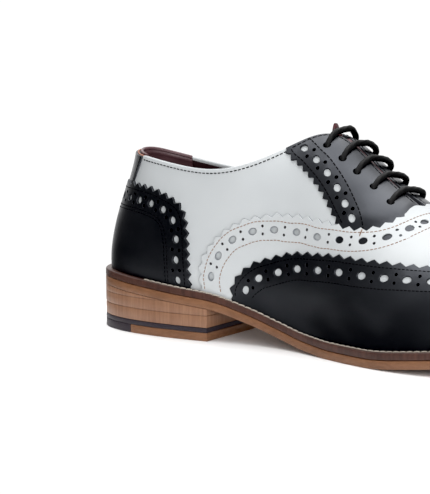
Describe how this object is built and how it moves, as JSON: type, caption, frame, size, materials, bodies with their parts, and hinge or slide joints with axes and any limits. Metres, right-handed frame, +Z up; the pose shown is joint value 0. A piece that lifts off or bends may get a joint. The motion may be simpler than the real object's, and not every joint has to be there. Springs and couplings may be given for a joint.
{
  "type": "brogue oxford shoe",
  "caption": "Two-tone full brogue oxford for the left foot: wing cap, laced eyestays, welted leather sole and stacked heel.",
  "frame": {"origin": "middle of the sole's box, on the floor that the heel and the forefoot stand on", "axes": "+X towards the toe, +Y towards the lateral side, +Z up"},
  "size_m": [0.311, 0.1083, 0.1199],
  "materials": {
    "white_calf": "smooth white calf",
    "black_calf": "polished black calf",
    "lining_leather": "dark red lining leather",
    "sole_leather": "tan sole leather with a waxed edge",
    "welt_leather": "dark brown waxed leather",
    "heel_rubber": "black rubber",
    "lace_cotton": "waxed black cotton"
  },
  "bodies": {
    "root": {"outsole": "sole_leather", "welt": "welt_leather", "insole": "lining_leather", "heel_lift_1": "sole_leather", "heel_lift_2": "sole_leather", "heel_lift_3": "sole_leather", "heel_lift_4": "heel_rubber", "top_piece_leather": "sole_leather", "top_piece_rubber": "heel_rubber", "upper": "white_calf", "tongue": "black_calf", "wing_cap": "black_calf", "vamp": "white_calf", "heel_counter": "black_calf", "back_strip": "black_calf", "facing_medial": "black_calf", "facing_lateral": "black_calf", "lace_bar_1": "lace_cotton", "lace_bar_2": "lace_cotton", "lace_bar_3": "lace_cotton", "lace_bar_4": "lace_cotton", "lace_bar_5": "lace_cotton"}
  },
  "joints": []
}
